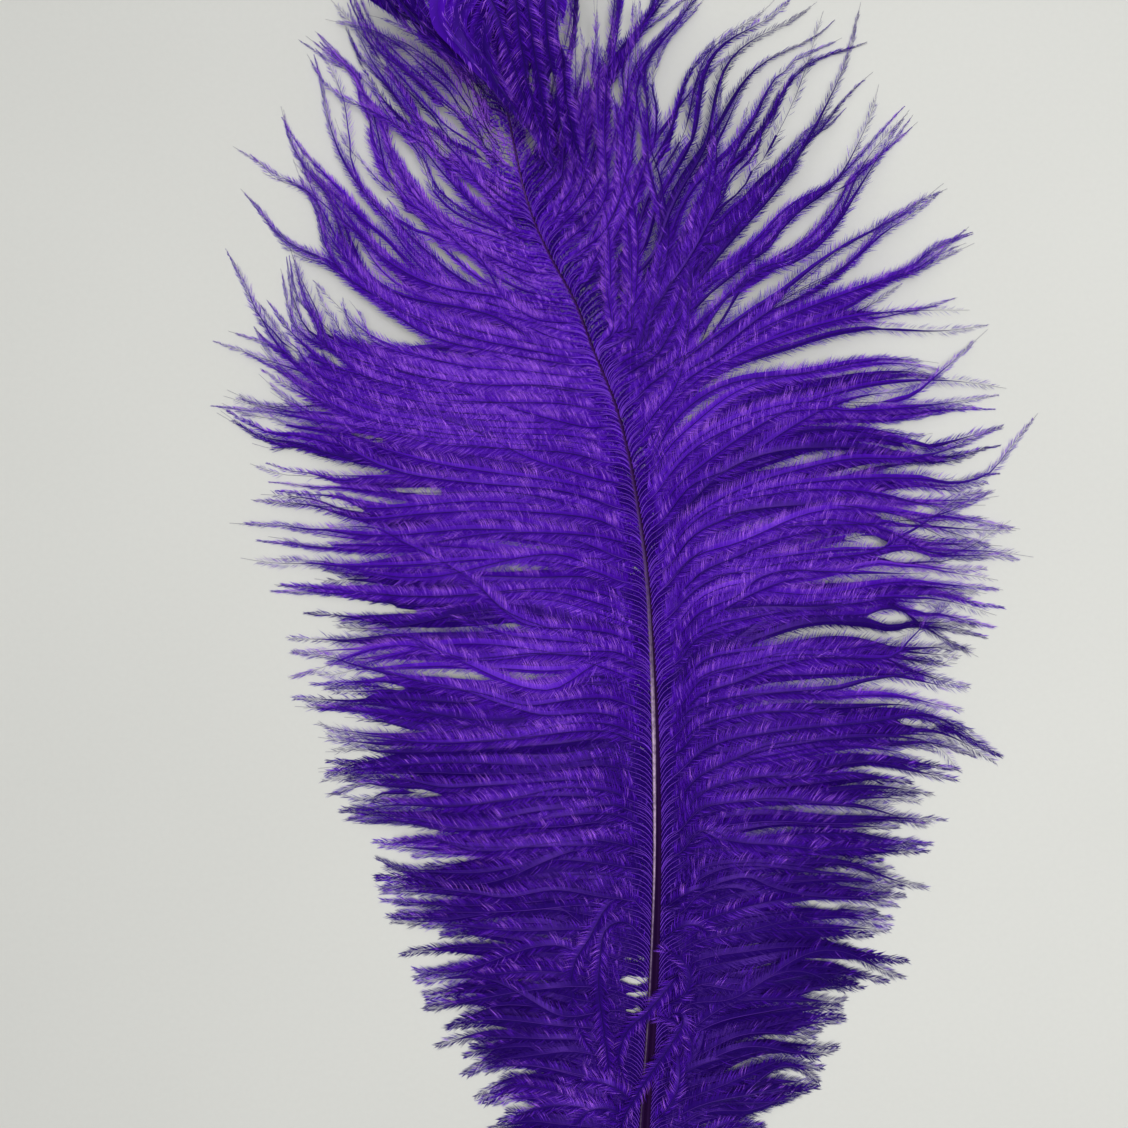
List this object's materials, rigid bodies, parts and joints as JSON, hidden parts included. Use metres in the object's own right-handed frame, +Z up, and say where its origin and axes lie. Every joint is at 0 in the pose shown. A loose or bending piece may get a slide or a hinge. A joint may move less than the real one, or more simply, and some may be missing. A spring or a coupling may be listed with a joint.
{
  "type": "ostrich feather",
  "caption": "Dyed ostrich plume lying flat, grooved shaft up, with soft vanes that part into pointed locks and a tip curled up and over.",
  "frame": {"origin": "centre of the bounding box's footprint, on the surface the feather lies on", "axes": "+Y along the shaft from the quill's cut end to the curled tip, +Z up from the surface, +X to the right of the shaft seen from above"},
  "size_m": [0.164, 0.3014, 0.0432],
  "materials": {
    "shaft": "dyed keratin, satin",
    "vane": "dyed barbs and loose barbules, soft sheen"
  },
  "bodies": {
    "root": {"shaft": "shaft", "left_vane": "vane", "right_vane": "vane"}
  },
  "joints": []
}
